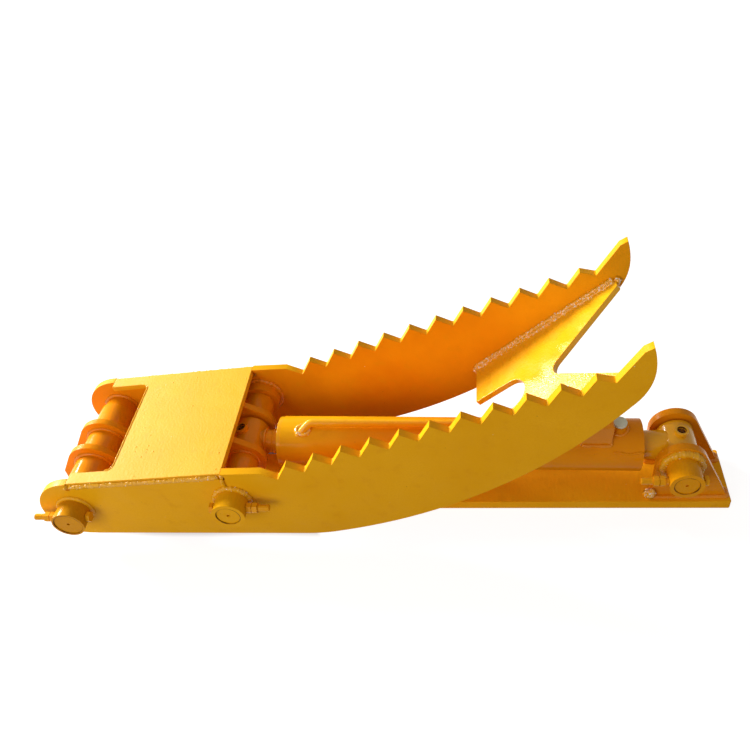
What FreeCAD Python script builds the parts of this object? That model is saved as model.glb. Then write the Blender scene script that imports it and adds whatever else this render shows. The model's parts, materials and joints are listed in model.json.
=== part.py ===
import FreeCAD
import Part
import math
import os

# Hydraulic excavator thumb on a weld-on base, cylinder retracted and thumb folded down.
# Millimetres. X runs from the main pivot towards the claws, Y across, Z up.
# The origin is on the underside of the base plate, at mid width, straight below the main pivot.

V = FreeCAD.Vector

# Main places
pivot_height = 88.0           # main pivot above the top of the base plate
rod_pin_x = 325.0             # rod pin on the thumb, from the main pivot
rod_pin_rise = 27.0
base_pin_x = 1167.0           # fixed cylinder pin, from the main pivot
base_pin_rise = 2.0

# Base plate
plate_thickness = 20.0
plate_width = 135.0
plate_back = 76.0             # how far the plate runs behind the main pivot
plate_front = 6.0             # how far it runs past the cylinder lugs
plate_corner = 4.0

# Thumb width and plates
thumb_width = 300.0
tine_thickness = 16.0
nose_radius = 75.0
nose_forward = 4.0
nose_drop = 4.5
belly_start = 450.0
belly_blend = (520.0, -70.5)
belly_end = (1040.0, 265.0)
claw_back = (1062.0, 338.0)
claw_point = (1054.0, 378.7)
claw_front = (1040.7, 370.4)
belly_blend_slope = 13.0

# Serrated edge
tooth_count = 11
tooth_pitch = 56.7
tooth_depth = 27.2
tooth_back_run = 25.1         # along the edge, from a tip to the root after it
tooth_line_angle = 20.3
first_tooth = (390.2, 100.0)  # end of the flat top edge, one pitch before the first whole tooth
last_root_lift = 10.0
tooth_root_radius = 3.0

# Cover plate over the pivot end
cover_thickness = 12.0
cover_start = 5.0
cover_end = 317.0
cover_slope = 5.0
cover_inset = 2.3             # from the outer faces of the tines, for the weld
cover_notch_depth = 86.0
cover_leg_width = 27.7
cover_notch_radius = 14.0
weld_relief_radius = 6.0

# Web plate between the claws
web_start = (784.0, 91.0)
web_angle = 39.2
web_length = 330.0
web_thickness = 12.0
web_slot_half_width = 36.0
web_slot_depth = 116.0
web_vee_apex = 165.0
web_vee_slope = 0.695
web_vee_radius = 20.7

# Pins, bosses and bushes
main_pin_diameter = 55.0
cylinder_pin_diameter = 45.0
running_clearance = 0.06
seat_clearance = 0.05
side_gap = 0.5
boss_diameter = 63.0
boss_projection = 41.0
pin_recess = 2.0
pin_proud = 3.0               # bare far end of each pin
centre_hole_radius = 3.0
centre_hole_depth = 5.0
pivot_inner_boss_diameter = 66.0
pivot_inner_boss_length = 27.0
pivot_tube_diameter = 75.0
pivot_bush_wall = 4.5
pivot_bush_length = 60.0
rod_inner_boss_diameter = 80.0
rod_inner_boss_length = 24.0
spacer_diameter = 60.0
base_boss_projection = 50.0
base_bolt_place = 0.72        # along the boss, from its foot
base_nut_slack = 6.0          # the lock nuts sit this far off the boss

# Lugs
pivot_lug_thickness = 14.0
pivot_lug_centre = 35.0
pivot_lug_radius = 55.0
pivot_lug_back = 72.0          # straight back edge, up to the shoulder
pivot_lug_shoulder = -12.0
pivot_lug_front = 150.0
inner_lug_thickness = 14.0
inner_lug_gap = 82.0
inner_lug_radius = 45.0
inner_lug_root = (215.0, 312.0)
base_lug_thickness = 16.0
base_lug_gap = 76.0
base_lug_radius = 47.0
base_lug_foot_back = 47.0
base_lug_foot_front = 97.0

# Cross bolts that lock the pins
bolt_diameter = 12.0
bolt_hole_diameter = 13.0
bolt_head_height = 7.5
bolt_flats = 18.0
nut_height = 10.0
nut_gap = 1.0
bolt_tail = 22.0
bolt_seat_gap = 0.2

# Hydraulic cylinder
barrel_diameter = 102.0
barrel_bore = 80.0
rod_diameter = 50.0
eye_diameter = 70.0
eye_width = 66.0
eye_bush_wall = 4.0
rod_end_to_gland = 67.0       # rod pin to the outer face of the gland
gland_collar = 8.0
gland_collar_diameter = 100.0
gland_depth = 58.0
base_pin_to_cap = 72.0        # fixed pin to the outer face of the end cap
cap_thickness = 30.0
neck_diameter = 56.0
rod_neck_diameter = 46.0
rod_neck_length = 18.0
piston_length = 55.0
piston_end_gap = 8.0
piston_nut_flats = 46.0
piston_nut_height = 24.0
rod_tail_diameter = 32.0
seal_section = 5.0
seal_width = 9.0
seal_gap = 0.35
nipple_boss_diameter = 26.0
nipple_boss_rise = 7.0
rod_nipple_tilt = 14.0        # away from the rod
barrel_nipple_tilt = 2.0
nipple_radius = 4.0
nipple_well_radius = 9.0
nipple_well_depth = 6.0

# Oil pipe and ports on the barrel
pipe_diameter = 16.0
pipe_bore = 11.0
pipe_rise = 62.0              # pipe axis above the barrel axis
pipe_front = 53.0             # front riser from the outer face of the gland
pipe_bend = 18.0
pipe_slant = 48.0             # the riser's lean from the barrel's line
pipe_lean = 38.0              # the riser's lean to the near side
fitting_roll = 6.5            # pipe, block and port, from the barrel's top to the near side
block_from_pin = 133.0        # rear face of the valve block, from the fixed pin
block_length = 56.0
block_width = 64.0
block_rise = 95.0             # top of the block above the barrel axis
block_corner = 3.0
port_from_pin = 117.0
port_diameter = 30.0
port_rise = 66.0
port_bore = 19.0
port_depth = 16.0
plug_cap = 5.0
plug_rim = 2.0

# Worked out from the values above
plate_top = plate_thickness
pivot_z = plate_top + pivot_height
plate_length = plate_back + base_pin_x + base_lug_foot_front + plate_front
half_width = thumb_width / 2.0
tine_inner = half_width - tine_thickness
rod_pin = V(rod_pin_x, 0, pivot_z + rod_pin_rise)
base_pin = V(base_pin_x, 0, pivot_z + base_pin_rise)
pin_distance = (rod_pin - base_pin).Length
rod_direction = (rod_pin - base_pin).normalize()
main_pin_radius = main_pin_diameter / 2.0
cylinder_pin_radius = cylinder_pin_diameter / 2.0
boss_radius = boss_diameter / 2.0
boss_end = half_width + boss_projection
bolt_y = half_width + boss_projection / 2.0
base_lug_outer = base_lug_gap / 2.0 + base_lug_thickness
base_boss_end = base_lug_outer + base_boss_projection
base_bolt_y = base_lug_outer + base_boss_projection * base_bolt_place
inner_lug_outer = inner_lug_gap / 2.0 + inner_lug_thickness
nodes = {}


def add(name, shape):
    nodes[name] = shape


def rod_along_y(x, z, radius, low, high):
    return Part.makeCylinder(radius, high - low, V(x, low, z), V(0, 1, 0))


def tube_along_y(x, z, outer, inner, low, high):
    shell = rod_along_y(x, z, outer, low, high)
    return shell.cut(rod_along_y(x, z, inner, low - 1, high + 1))


def face_from(edges):
    return Part.Face(Part.Wire(edges))


def across(face, low, high):
    # A face drawn at y = 0, stretched from low to high across the width.
    shape = face.extrude(V(0, high - low, 0))
    shape.translate(V(0, low, 0))
    return shape


def far_and_near(name, make):
    # Twin pieces: the far one at positive y, the near one mirrored.
    shape = make()
    add(name + "_far", shape)
    add(name + "_near", shape.mirror(V(0, 0, 0), V(0, 1, 0)))


def at_pivot(point):
    return V(point[0], 0, pivot_z + point[1])


def unit(angle):
    return V(math.cos(math.radians(angle)), 0, math.sin(math.radians(angle)))


def tangent_arc(start, slope, end):
    # The arc from start, leaving at the slope in degrees, that ends at end.
    chord = end - start
    turn = math.degrees(math.atan2(chord.z, chord.x)) - slope
    radius = chord.Length / (2.0 * math.sin(math.radians(turn)))
    centre = start + unit(slope + 90.0) * radius
    middle = centre + unit(slope - 90.0 + turn) * radius
    return Part.Arc(start, middle, end).toShape(), slope + 2.0 * turn


def tangent_points(centre, radius, point):
    # Where the two lines from a point touch a circle, in the XZ plane.
    gap = point - centre
    aim = math.degrees(math.atan2(gap.z, gap.x))
    spread = math.degrees(math.acos(radius / gap.Length))
    return centre + unit(aim + spread) * radius, centre + unit(aim - spread) * radius


def lug_face(centre, radius, low, high):
    # A lug: round head about the centre, with straight sides to two foot points.
    left = tangent_points(centre, radius, low)[1 if low.z < centre.z else 0]
    right = tangent_points(centre, radius, high)[0 if low.z < centre.z else 1]
    away = 1.0 if low.z < centre.z else -1.0
    head = centre + V(0, 0, radius * away)
    edges = [Part.makeLine(low, left), Part.Arc(left, head, right).toShape(),
             Part.makeLine(right, high), Part.makeLine(high, low)]
    return face_from(edges)


def hexagon(flats, height):
    radius = flats / math.sqrt(3.0)
    corners = [V(0, radius * math.cos(math.radians(60.0 * i)),
                 radius * math.sin(math.radians(60.0 * i))) for i in range(7)]
    prism = Part.Face(Part.makePolygon(corners)).extrude(V(height, 0, 0))
    chamfer = Part.makeCone(flats / 2.0, flats / 2.0 + height * 1.7, height, V(0, 0, 0), V(1, 0, 0))
    return prism.common(chamfer)


def cross_bolt(name, x, z, y, head_side, nut_slack=0.0):
    # A bolt through the near boss and its pin, with two lock nuts on the threaded side.
    reach = boss_radius + bolt_seat_gap
    nut_seat = reach + nut_slack
    tail = nut_seat + 2.0 * nut_height + nut_gap + bolt_tail
    head = hexagon(bolt_flats, bolt_head_height)
    shank = Part.makeCylinder(bolt_diameter / 2.0, reach + tail, V(-reach - tail, 0, 0), V(1, 0, 0))
    bolt = head.fuse(shank)
    bolt.translate(V(reach, 0, 0))
    nut = hexagon(bolt_flats, nut_height)
    nut = nut.cut(Part.makeCylinder(bolt_diameter / 2.0 + seat_clearance, nut_height, V(0, 0, 0), V(1, 0, 0)))
    inner = nut.copy()
    inner.rotate(V(0, 0, 0), V(0, 0, 1), 180)
    inner.translate(V(-nut_seat, 0, 0))
    outer = inner.copy()
    outer.translate(V(-nut_height - nut_gap, 0, 0))
    for solid in (bolt, inner, outer):
        if head_side < 0:
            solid.rotate(V(0, 0, 0), V(0, 0, 1), 180)
        solid.translate(V(x, -y, z))
    add(name + "_bolts", bolt)
    add(name + "_nuts", Part.Compound([inner, outer]))


def bolt_hole(x, z, y, reach):
    # Through the near boss and the pin in it.
    return Part.makeCylinder(bolt_hole_diameter / 2.0, 2.0 * reach, V(x - reach, -y, z), V(1, 0, 0))


def near_boss(x, z, bore, foot, end, y):
    boss = tube_along_y(x, z, boss_radius, bore, -end, -foot)
    return boss.cut(bolt_hole(x, z, y, boss_diameter))


def near_pin(x, z, radius, low, high, y):
    # A turned pin with its lathe centre and the hole for the cross bolt at its near end, low.
    shape = rod_along_y(x, z, radius, low, high)
    shape = shape.cut(bolt_hole(x, z, y, radius * 2.0))
    return shape.cut(rod_along_y(x, z, centre_hole_radius, low, low + centre_hole_depth))


def far_centre(x, z, end):
    return rod_along_y(x, z, centre_hole_radius, end - centre_hole_depth, end)


# Base plate and the two brackets on it
plate = Part.makeBox(plate_length, plate_width, plate_thickness, V(-plate_back, -plate_width / 2.0, 0))
upright = [edge for edge in plate.Edges if abs(edge.tangentAt(edge.FirstParameter).z) > 0.9]
add("base_plate", plate.makeFillet(plate_corner, upright))

pivot = V(0, 0, pivot_z)
pivot_tube_end = tine_inner - pivot_inner_boss_length - side_gap


def pivot_lug():
    # Round head, sloping down at the back to a shoulder, with a long foot in front.
    shoulder = at_pivot((-pivot_lug_back, pivot_lug_shoulder))
    back = V(-pivot_lug_back, 0, plate_top)
    front = V(pivot_lug_front, 0, plate_top)
    left = tangent_points(pivot, pivot_lug_radius, shoulder)[1]
    right = tangent_points(pivot, pivot_lug_radius, front)[0]
    head = Part.Arc(left, pivot + V(0, 0, pivot_lug_radius), right).toShape()
    face = face_from([Part.makeLine(back, shoulder), Part.makeLine(shoulder, left), head,
                      Part.makeLine(right, front), Part.makeLine(front, back)])
    low = pivot_lug_centre - pivot_lug_thickness / 2.0
    lug = across(face, low, low + pivot_lug_thickness)
    return lug.cut(rod_along_y(0, pivot_z, pivot_tube_diameter / 2.0 + seat_clearance, 0, half_width))


far_and_near("pivot_lug", pivot_lug)
bush_outer = main_pin_radius + running_clearance + pivot_bush_wall
add("pivot_tube", tube_along_y(0, pivot_z, pivot_tube_diameter / 2.0, bush_outer + seat_clearance,
                               -pivot_tube_end, pivot_tube_end))
far_and_near("pivot_bush", lambda: tube_along_y(
    0, pivot_z, bush_outer, main_pin_radius + running_clearance,
    pivot_tube_end - pivot_bush_length, pivot_tube_end))


def base_lug():
    face = lug_face(base_pin, base_lug_radius, V(base_pin.x - base_lug_foot_back, 0, plate_top),
                    V(base_pin.x + base_lug_foot_front, 0, plate_top))
    lug = across(face, base_lug_gap / 2.0, base_lug_outer)
    return lug.cut(rod_along_y(base_pin.x, base_pin.z, cylinder_pin_radius + seat_clearance, 0, half_width))


far_and_near("cylinder_lug", base_lug)
add("cylinder_lug_boss_near", near_boss(
    base_pin.x, base_pin.z, cylinder_pin_radius + seat_clearance, base_lug_outer, base_boss_end, base_bolt_y))
base_pin_low = pin_recess - base_boss_end
base_pin_high = base_lug_outer + pin_proud
held_pin = near_pin(base_pin.x, base_pin.z, cylinder_pin_radius, base_pin_low, base_pin_high, base_bolt_y)
add("cylinder_base_pin", held_pin.cut(far_centre(base_pin.x, base_pin.z, base_pin_high)))
cross_bolt("base_pin", base_pin.x, base_pin.z, base_bolt_y, 1, base_nut_slack)


# Tines, with the serrated gripping edge and the hooked claw
def tooth_tip(index):
    return at_pivot(first_tooth) + unit(tooth_line_angle) * (tooth_pitch * index)


def tooth_root(index):
    lift = last_root_lift if index == tooth_count else 0.0
    back = unit(tooth_line_angle) * tooth_back_run
    return tooth_tip(index) + back + unit(tooth_line_angle + 90.0) * (lift - tooth_depth)


def rounded(points, radii):
    # Edges along the points, with a tangent arc at each point that has a radius.
    edges = []
    last = points[0]
    for index in range(1, len(points) - 1):
        here = points[index]
        radius = radii[index]
        before = (points[index - 1] - here).normalize()
        after = (points[index + 1] - here).normalize()
        half = before.getAngle(after) / 2.0
        cut = radius / math.tan(half)
        if cut <= 0:
            edges.append(Part.makeLine(last, here))
            last = here
            continue
        middle = here + (before + after).normalize() * (radius / math.sin(half) - radius)
        edges.append(Part.makeLine(last, here + before * cut))
        edges.append(Part.Arc(here + before * cut, middle, here + after * cut).toShape())
        last = here + after * cut
    edges.append(Part.makeLine(last, points[-1]))
    return edges


nose_centre = at_pivot((nose_forward, -nose_drop))
cover_line = nose_centre + unit(cover_slope + 90.0) * nose_radius
cover_way = unit(cover_slope)
cover_low = cover_line + cover_way * ((cover_start - cover_line.x) / cover_way.x)
cover_high = cover_line + cover_way * ((cover_end - cover_line.x) / cover_way.x)
cover_length = (cover_high - cover_low).Length


def tine_face():
    heel = nose_centre - V(0, 0, nose_radius)
    heel_end = V(belly_start, 0, heel.z)
    edges = [Part.makeLine(heel, heel_end)]
    here = heel_end
    slope = 0.0
    for point in (belly_blend, belly_end, claw_back, claw_point):
        goal = at_pivot(point)
        edge, slope = tangent_arc(here, slope, goal)
        if point == belly_blend:
            slope = belly_blend_slope
        edges.append(edge)
        here = goal
    points = [here, at_pivot(claw_front)]
    radii = [0.0, 0.0]
    for index in range(tooth_count, -1, -1):
        points += [tooth_root(index), tooth_tip(index)]
        radii += [tooth_root_radius, 0.0]
    points += [cover_high, cover_line]
    radii += [0.0, 0.0]
    edges += rounded(points, radii)
    nose_side = nose_centre - V(nose_radius, 0, 0)
    edges.append(Part.Arc(cover_line, nose_side, heel).toShape())
    return face_from(edges)


def cover_pocket():
    pocket = Part.makeBox(cover_length, thumb_width, cover_thickness, V(0, -half_width, -cover_thickness))
    for x in (0.0, cover_length):
        pocket = pocket.fuse(rod_along_y(x, -cover_thickness, weld_relief_radius, -half_width, half_width))
    pocket.rotate(V(0, 0, 0), V(0, -1, 0), cover_slope)
    pocket.translate(cover_low)
    return pocket


def tine():
    plate = across(tine_face(), tine_inner, half_width)
    plate = plate.cut(cover_pocket())
    plate = plate.cut(rod_along_y(0, pivot_z, main_pin_radius + seat_clearance, 0, thumb_width))
    return plate.cut(rod_along_y(rod_pin.x, rod_pin.z, cylinder_pin_radius + seat_clearance, 0, thumb_width))


far_and_near("tine", tine)


def cover_plate():
    half = half_width - cover_inset
    inner = half - cover_leg_width
    outline = [V(0, -half, 0), V(cover_length, -half, 0), V(cover_length, half, 0), V(0, half, 0),
               V(0, inner, 0), V(cover_notch_depth, inner, 0), V(cover_notch_depth, -inner, 0),
               V(0, -inner, 0), V(0, -half, 0)]
    radii = [0, 0, 0, 0, 0, cover_notch_radius, cover_notch_radius, 0, 0]
    shape = face_from(rounded(outline, radii)).extrude(V(0, 0, -cover_thickness))
    shape.rotate(V(0, 0, 0), V(0, -1, 0), cover_slope)
    shape.translate(cover_low)
    return shape


add("cover_plate", cover_plate())


def web_plate():
    # Drawn flat with x along the slope, then tilted: a round-ended slot behind, a vee in front.
    edge = tine_inner
    vee = web_vee_slope * (web_length - web_vee_apex)
    slot = web_slot_half_width
    slot_centre = web_slot_depth - slot
    outline = [V(slot_centre, slot, 0), V(0, slot, 0), V(0, edge, 0), V(web_length, edge, 0),
               V(web_length, vee, 0), V(web_vee_apex, 0, 0), V(web_length, -vee, 0), V(web_length, -edge, 0),
               V(0, -edge, 0), V(0, -slot, 0), V(slot_centre, -slot, 0)]
    radii = [0, 0, 0, 0, 0, web_vee_radius, 0, 0, 0, 0, 0]
    edges = rounded(outline, radii)
    edges.append(Part.Arc(outline[-1], V(web_slot_depth, 0, 0), outline[0]).toShape())
    shape = face_from(edges).extrude(V(0, 0, -web_thickness))
    shape.rotate(V(0, 0, 0), V(0, -1, 0), web_angle)
    shape.translate(at_pivot(web_start))
    return shape


add("web_plate", web_plate())


def under_cover(x):
    down = V(0, 0, cover_thickness / cover_way.x)
    return cover_line + cover_way * ((x - cover_line.x) / cover_way.x) - down


def inner_lug():
    face = lug_face(rod_pin, inner_lug_radius, under_cover(inner_lug_root[0]), under_cover(inner_lug_root[1]))
    lug = across(face, inner_lug_gap / 2.0, inner_lug_outer)
    return lug.cut(rod_along_y(rod_pin.x, rod_pin.z, cylinder_pin_radius + seat_clearance, 0, half_width))


far_and_near("inner_lug", inner_lug)

# Bosses, spacers and pins of the thumb
pin_low = pin_recess - boss_end
pin_high = half_width + pin_proud
rod_bore = cylinder_pin_radius + seat_clearance
add("pivot_boss_near", near_boss(0, pivot_z, main_pin_radius + seat_clearance, half_width, boss_end, bolt_y))
add("rod_pin_boss_near", near_boss(rod_pin.x, rod_pin.z, rod_bore, half_width, boss_end, bolt_y))
far_and_near("pivot_inner_boss", lambda: tube_along_y(
    0, pivot_z, pivot_inner_boss_diameter / 2.0, main_pin_radius + seat_clearance,
    tine_inner - pivot_inner_boss_length, tine_inner))
far_and_near("rod_pin_inner_boss", lambda: tube_along_y(
    rod_pin.x, rod_pin.z, rod_inner_boss_diameter / 2.0, rod_bore,
    tine_inner - rod_inner_boss_length, tine_inner))
far_and_near("rod_pin_spacer", lambda: tube_along_y(
    rod_pin.x, rod_pin.z, spacer_diameter / 2.0, rod_bore,
    inner_lug_outer, tine_inner - rod_inner_boss_length))

main_pin = near_pin(0, pivot_z, main_pin_radius, pin_low, pin_high, bolt_y)
add("main_pivot_pin", main_pin.cut(far_centre(0, pivot_z, pin_high)))
rod_pin_start = eye_width / 2.0 + side_gap
add("rod_pin_end_near", near_pin(
    rod_pin.x, rod_pin.z, cylinder_pin_radius, pin_low, -rod_pin_start, bolt_y))
far_end = rod_along_y(rod_pin.x, rod_pin.z, cylinder_pin_radius, rod_pin_start, pin_high)
add("rod_pin_end_far", far_end.cut(far_centre(rod_pin.x, rod_pin.z, pin_high)))
cross_bolt("pivot_pin", 0, pivot_z, bolt_y, 1)
cross_bolt("rod_pin", rod_pin.x, rod_pin.z, bolt_y, -1)


# Hydraulic cylinder, drawn along +X from the fixed pin and then turned onto its line
def place(shape):
    # The drawing has the fixed pin at zero and the rod pin at x = pin_distance.
    shape.rotate(V(0, 0, 0), V(0, 0, 1), 180)
    lean = math.degrees(math.atan2(rod_direction.z, -rod_direction.x))
    shape.rotate(V(0, 0, 0), V(0, 1, 0), lean)
    shape.translate(base_pin)
    return shape


def turned(profile):
    # A shape turned about the cylinder's axis from (x, radius) points.
    points = [V(x, 0, radius) for x, radius in profile]
    face = Part.Face(Part.makePolygon(points + [points[0]]))
    return face.revolve(V(0, 0, 0), V(1, 0, 0), 360)


def ring_on_axis(x, length, outer, inner):
    return turned([(x, inner), (x + length, inner), (x + length, outer), (x, outer)])


eye_radius = eye_diameter / 2.0
eye_bore = cylinder_pin_radius + running_clearance + eye_bush_wall
barrel_radius = barrel_diameter / 2.0
bore_radius = barrel_bore / 2.0
rod_radius = rod_diameter / 2.0
gland_face = pin_distance - rod_end_to_gland
barrel_end = gland_face - gland_collar
cap_face = base_pin_to_cap


def nipple_frame(centre, tilt, solid):
    # A shape drawn up the Z axis, tilted away from the neck and moved to the eye.
    solid.rotate(V(0, 0, 0), V(0, 1, 0), tilt)
    solid.translate(V(centre, 0, 0))
    return solid


def eye(centre, tilt, neck_radius, neck_end):
    half = eye_width / 2.0
    shape = Part.makeCylinder(eye_radius, eye_width, V(centre, -half, 0), V(0, 1, 0))
    low, high = sorted((centre, neck_end))
    shape = shape.fuse(Part.makeCylinder(neck_radius, high - low, V(low, 0, 0), V(1, 0, 0)))
    top = eye_radius + nipple_boss_rise
    boss = Part.makeCylinder(nipple_boss_diameter / 2.0, top, V(0, 0, 0), V(0, 0, 1))
    shape = shape.fuse(nipple_frame(centre, tilt, boss))
    well = Part.makeCylinder(nipple_well_radius, nipple_well_depth + 1, V(0, 0, top - nipple_well_depth))
    shape = shape.cut(nipple_frame(centre, tilt, well))
    bore = Part.makeCylinder(eye_bore + seat_clearance, eye_width + 2, V(centre, -half - 1, 0), V(0, 1, 0))
    return shape.cut(bore).removeSplitter()


def eye_bush(centre):
    half = eye_width / 2.0
    shape = Part.makeCylinder(eye_bore, eye_width, V(centre, -half, 0), V(0, 1, 0))
    inner = cylinder_pin_radius + running_clearance
    return shape.cut(Part.makeCylinder(inner, eye_width + 2, V(centre, -half - 1, 0), V(0, 1, 0)))


def nipple(centre, tilt):
    floor = eye_radius + nipple_boss_rise - nipple_well_depth
    body = Part.makeCylinder(nipple_radius, nipple_well_depth * 0.6, V(0, 0, floor))
    head = Part.makeCone(nipple_radius * 0.6, nipple_radius * 0.35, nipple_well_depth * 0.7,
                         V(0, 0, floor + nipple_well_depth * 0.6))
    return nipple_frame(centre, tilt, body.fuse(head))


pipe_x = gland_face - pipe_front
port_x = port_from_pin
block_front = block_from_pin + block_length
riser_lean = math.radians(pipe_lean)
riser_slant = math.radians(pipe_slant)
# Seen along the barrel: how far down its own line the riser is at the barrel's skin and nearest the axis
riser_nearest = pipe_rise * math.cos(riser_lean)
riser_skin = riser_nearest - math.sqrt(barrel_radius ** 2 - (pipe_rise * math.sin(riser_lean)) ** 2)
foot_angle = math.degrees(math.asin(riser_skin * math.sin(riser_lean) / barrel_radius)) + fitting_roll


def rolled(shape):
    # Turned about the barrel's axis, from its top to the near side.
    shape.rotate(V(0, 0, 0), V(1, 0, 0), -fitting_roll)
    return shape


def oil_pipe():
    # A steel pipe: slanting out of the front of the barrel, then along its top to the valve block.
    bend_drop = pipe_bend * (1.0 - math.cos(riser_slant))
    bend_run = pipe_bend * math.sin(riser_slant)
    over = (riser_skin - bend_drop) / math.tan(riser_slant) + bend_run
    reach = (riser_nearest - bend_drop) / math.sin(riser_slant)
    cut_length = bend_run + reach * math.cos(riser_slant) + pipe_diameter
    top = V(pipe_x - over, 0, pipe_rise)
    turn = top - V(0, 0, pipe_bend)
    disc = Part.Face(Part.Wire(Part.makeCircle(pipe_diameter / 2.0, top, V(1, 0, 0))))
    hole = Part.Face(Part.Wire(Part.makeCircle(pipe_bore / 2.0, top, V(1, 0, 0))))
    ring = disc.cut(hole).Faces[0]
    run = ring.extrude(V(block_front - top.x, 0, 0))
    bend = ring.revolve(turn, V(0, 1, 0), pipe_slant)
    ring.rotate(turn, V(0, 1, 0), pipe_slant)
    riser = ring.extrude(unit(-pipe_slant) * reach)
    for shape in (bend, riser):
        shape.rotate(top, V(1, 0, 0), pipe_lean)
    pipe = run.fuse(bend).fuse(riser).removeSplitter()
    return rolled(pipe.cut(saddle(top.x, cut_length)))


def saddle(x, length):
    return Part.makeCylinder(barrel_radius + seat_clearance, length, V(x, 0, 0), V(1, 0, 0))


def valve_block():
    # Holding valve body that the pipe runs into, with the hose port of the rod side on top.
    low = barrel_radius * 0.6
    corner = V(block_from_pin, -block_width / 2.0, low)
    block = Part.makeBox(block_length, block_width, block_rise - low, corner)
    top = [edge for edge in block.Edges if edge.BoundBox.ZMin > block_rise - 1.0]
    block = block.makeChamfer(block_corner, top)
    block = block.cut(saddle(block_from_pin - 1, block_length + 2))
    x = block_from_pin + block_length / 2.0
    port = Part.makeCylinder(port_bore / 2.0, port_depth + 1, V(x, 0, block_rise - port_depth))
    return rolled(block.cut(port))


def port_boss():
    boss = Part.makeCylinder(port_diameter / 2.0, port_rise, V(port_x, 0, 0))
    bore = Part.makeCylinder(port_bore / 2.0, port_rise, V(port_x, 0, port_rise - port_depth))
    return rolled(boss.cut(saddle(port_x - port_diameter, 2.0 * port_diameter)).cut(bore))


def port_plug():
    depth = port_depth - plug_rim
    seat = port_rise + seat_clearance
    stem = Part.makeCylinder(port_bore / 2.0 - seat_clearance, depth, V(port_x, 0, seat - depth))
    rim = Part.makeCylinder(port_diameter / 2.0 - plug_rim, plug_cap, V(port_x, 0, seat))
    return rolled(stem.fuse(rim))


barrel = ring_on_axis(cap_face, barrel_end - cap_face, barrel_radius, bore_radius)
oil_hole = Part.makeCylinder(pipe_bore / 2.0, barrel_radius, V(pipe_x, 0, bore_radius / 2.0))
oil_hole.rotate(V(0, 0, 0), V(1, 0, 0), -foot_angle)
barrel = barrel.cut(oil_hole)
add("barrel_tube", place(barrel))
add("barrel_end_cap", place(Part.makeCylinder(
    bore_radius - seat_clearance, cap_thickness, V(cap_face, 0, 0), V(1, 0, 0))))
add("barrel_eye", place(eye(0, -barrel_nipple_tilt, neck_diameter / 2.0, cap_face)))
add("barrel_eye_bush", place(eye_bush(0)))
add("barrel_grease_nipple", place(nipple(0, -barrel_nipple_tilt)))

groove = rod_radius + running_clearance
gland = turned([(gland_face, groove), (gland_face, gland_collar_diameter / 2.0),
                (barrel_end, gland_collar_diameter / 2.0), (barrel_end, bore_radius - seat_clearance),
                (gland_face - gland_depth, bore_radius - seat_clearance), (gland_face - gland_depth, groove)])
seal_outer = rod_radius + seal_section
wiper_x = gland_face - seal_width
rod_seal_x = gland_face - gland_depth / 2.0
for x in (wiper_x, rod_seal_x):
    gland = gland.cut(ring_on_axis(x, seal_width, seal_outer, rod_radius))
add("gland", place(gland))
for name, x in (("wiper_seal", wiper_x), ("rod_seal", rod_seal_x)):
    seal = ring_on_axis(x + seal_gap / 2.0, seal_width - seal_gap, seal_outer - seat_clearance, groove)
    add(name, place(seal))

# Piston and rod, all the way in
piston_x = cap_face + cap_thickness + piston_end_gap + piston_nut_height
rod_tail = rod_tail_diameter / 2.0
rod_neck = rod_neck_diameter / 2.0
rod_end = pin_distance - eye_radius
nut_face = piston_x - piston_nut_height
shoulder = piston_x + piston_length
neck_start = rod_end - rod_neck_length
rod = turned([(nut_face, 0), (nut_face, rod_tail), (shoulder, rod_tail), (shoulder, rod_radius),
              (neck_start, rod_radius), (neck_start + rod_radius - rod_neck, rod_neck),
              (rod_end, rod_neck), (rod_end, 0)])
piston = ring_on_axis(piston_x, piston_length, bore_radius - running_clearance, rod_tail + seat_clearance)
piston_seal_x = piston_x + (piston_length - seal_width) / 2.0
piston = piston.cut(ring_on_axis(piston_seal_x, seal_width, bore_radius, bore_radius - seal_section))
add("piston", place(piston))
piston_seal = ring_on_axis(piston_seal_x + seal_gap / 2.0, seal_width - seal_gap,
                           bore_radius - running_clearance, bore_radius - seal_section + seat_clearance)
add("piston_seal", place(piston_seal))
piston_nut = hexagon(piston_nut_flats, piston_nut_height)
piston_nut = piston_nut.cut(Part.makeCylinder(
    rod_tail + seat_clearance, piston_nut_height, V(0, 0, 0), V(1, 0, 0)))
piston_nut.translate(V(nut_face, 0, 0))
add("piston_nut", place(piston_nut))
add("cylinder_rod", place(rod))
add("rod_eye", place(eye(pin_distance, rod_nipple_tilt, rod_neck, rod_end)))
add("rod_eye_bush", place(eye_bush(pin_distance)))
add("rod_grease_nipple", place(nipple(pin_distance, rod_nipple_tilt)))
middle = Part.makeCylinder(cylinder_pin_radius, eye_width, V(pin_distance, -eye_width / 2.0, 0), V(0, 1, 0))
add("rod_pin_middle", place(middle))
add("oil_pipe", place(oil_pipe()))
add("valve_block", place(valve_block()))
add("port_boss", place(port_boss()))
add("port_plug", place(port_plug()))

os.makedirs("parts", exist_ok=True)
for name, shape in nodes.items():
    shape.exportStep("parts/" + name + ".step")
print(len(nodes), "nodes, pins", round(pin_distance, 1), "mm apart, lean",
      round(math.degrees(math.atan2(rod_direction.z, -rod_direction.x)), 3))
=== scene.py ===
import bpy
import bmesh
import json
import math
import random
from mathutils import Matrix, Vector, noise


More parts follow.
